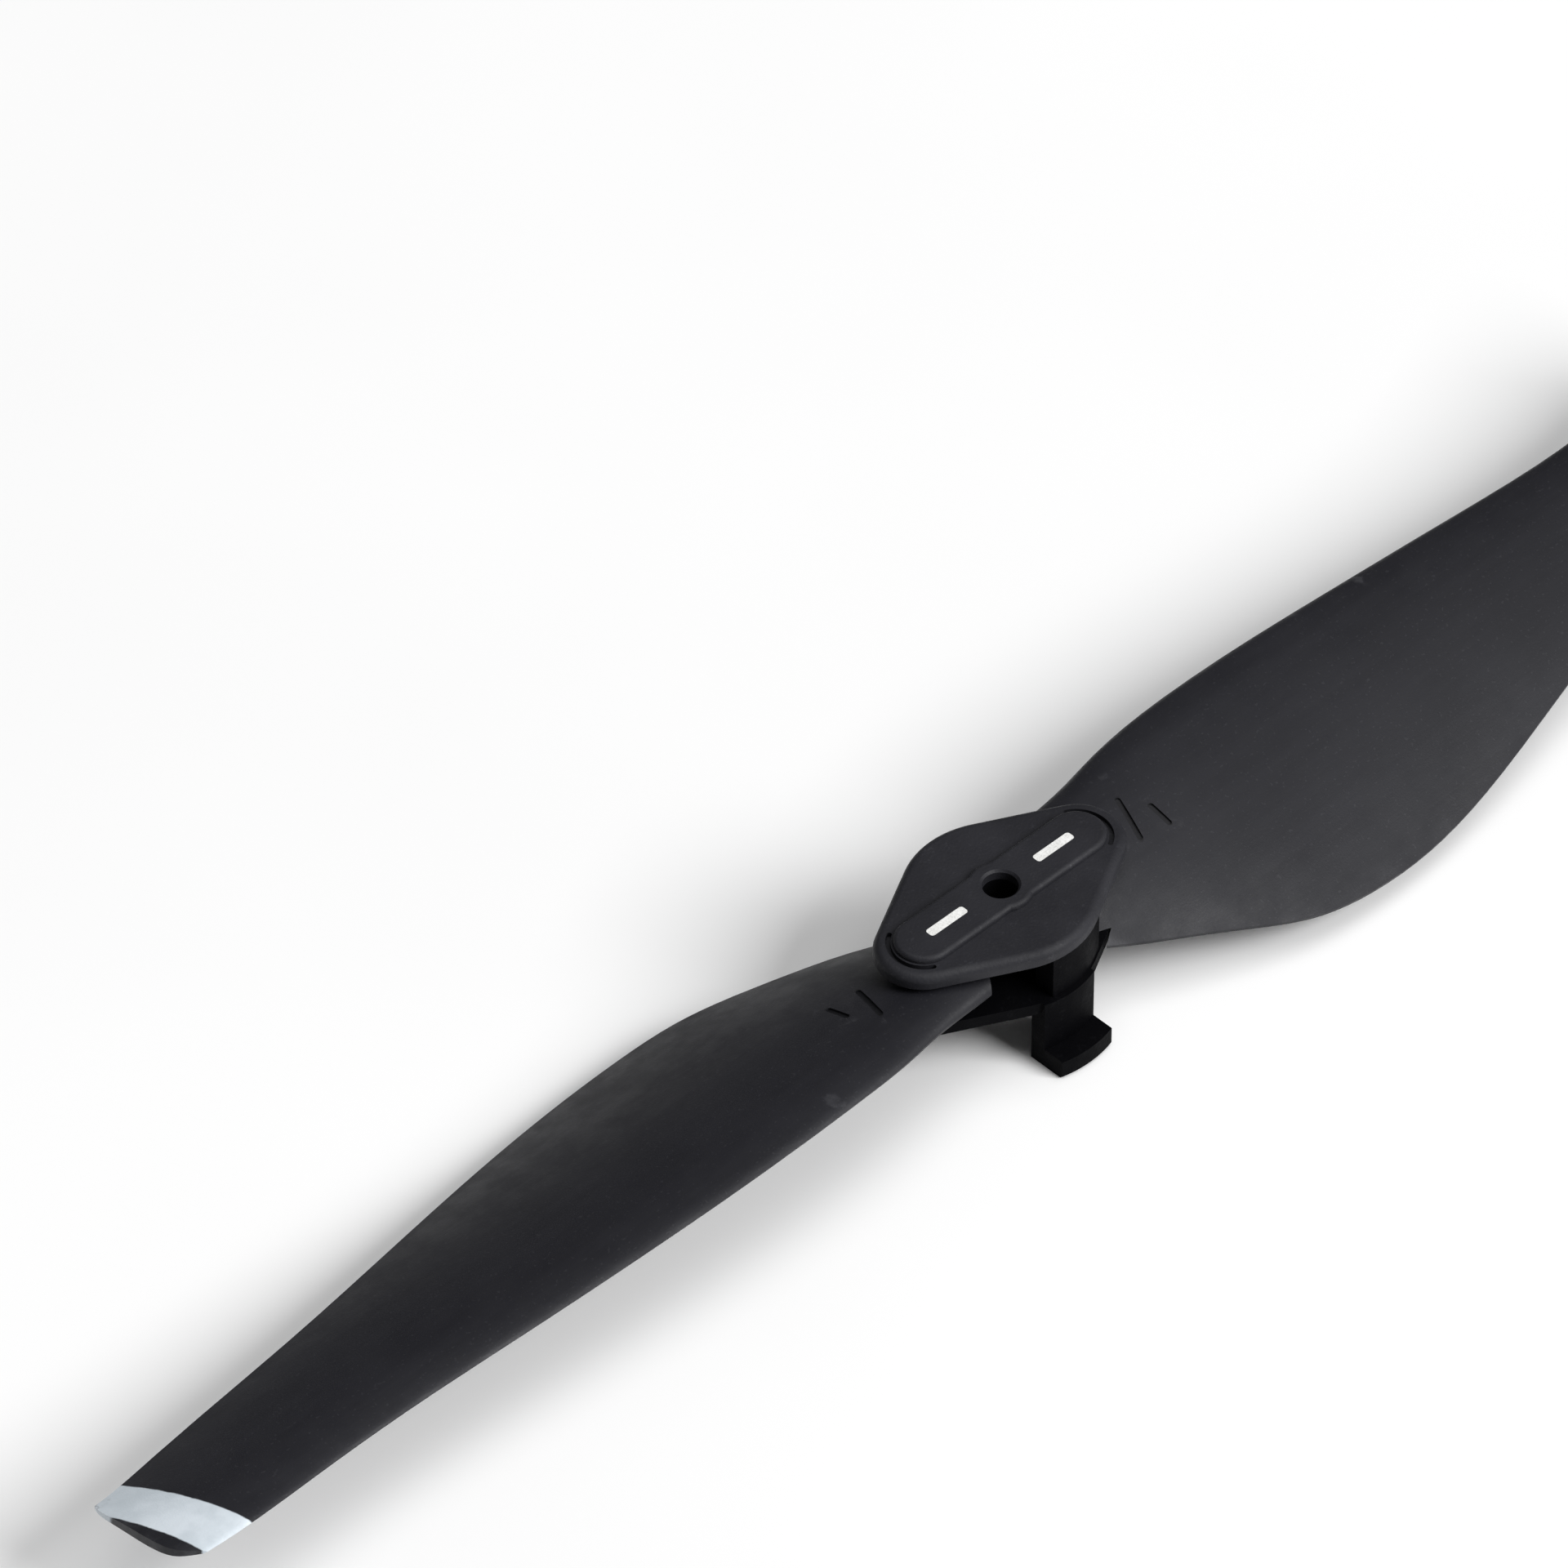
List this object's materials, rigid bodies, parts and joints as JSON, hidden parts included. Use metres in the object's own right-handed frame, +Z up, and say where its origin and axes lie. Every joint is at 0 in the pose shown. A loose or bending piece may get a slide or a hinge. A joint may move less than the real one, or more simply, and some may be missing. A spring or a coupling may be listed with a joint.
{
  "type": "folding propeller",
  "caption": "Folding quick-release propeller for a small camera drone: twisted pitched blades hinged in a flat oval hub with outward bayonet claws under it.",
  "frame": {"origin": "on the spin axis, at the seat face under the hub", "axes": "+Z up the spin axis, away from the motor; X along the deployed blades; the blades turn from +X towards +Y in flight (counterclockwise from above)"},
  "size_m": [0.1352, 0.0204, 0.0091],
  "materials": {
    "hub_plastic": "fine moulded texture, charcoal black",
    "blade_plastic": "satin moulded glass-filled nylon, charcoal, with a pale silver band near the tip",
    "pin_steel": "turned",
    "washer_plastic": "smooth low-friction film",
    "mark_white": "flat white fill"
  },
  "bodies": {
    "hub": {"hub_cover": "hub_plastic", "hub_base": "hub_plastic", "hinge_pin_a": "pin_steel", "hinge_pin_b": "pin_steel", "lower_washer_a": "washer_plastic", "lower_washer_b": "washer_plastic", "upper_washer_a": "washer_plastic", "upper_washer_b": "washer_plastic", "index_mark_a": "mark_white", "index_mark_b": "mark_white"},
    "blade_a_body": {"blade_a": "blade_plastic"},
    "blade_b_body": {"blade_b": "blade_plastic"}
  },
  "joints": [
    {"name": "blade_a_fold", "type": "hinge", "parent": "hub", "child": "blade_a_body", "pos_m": [0.0062, 0, 0.0023], "axis": [0, 0, 1], "range_deg": [0, 85]},
    {"name": "blade_b_fold", "type": "hinge", "parent": "hub", "child": "blade_b_body", "pos_m": [-0.0062, 0, 0.0023], "axis": [0, 0, 1], "range_deg": [0, 85]}
  ]
}
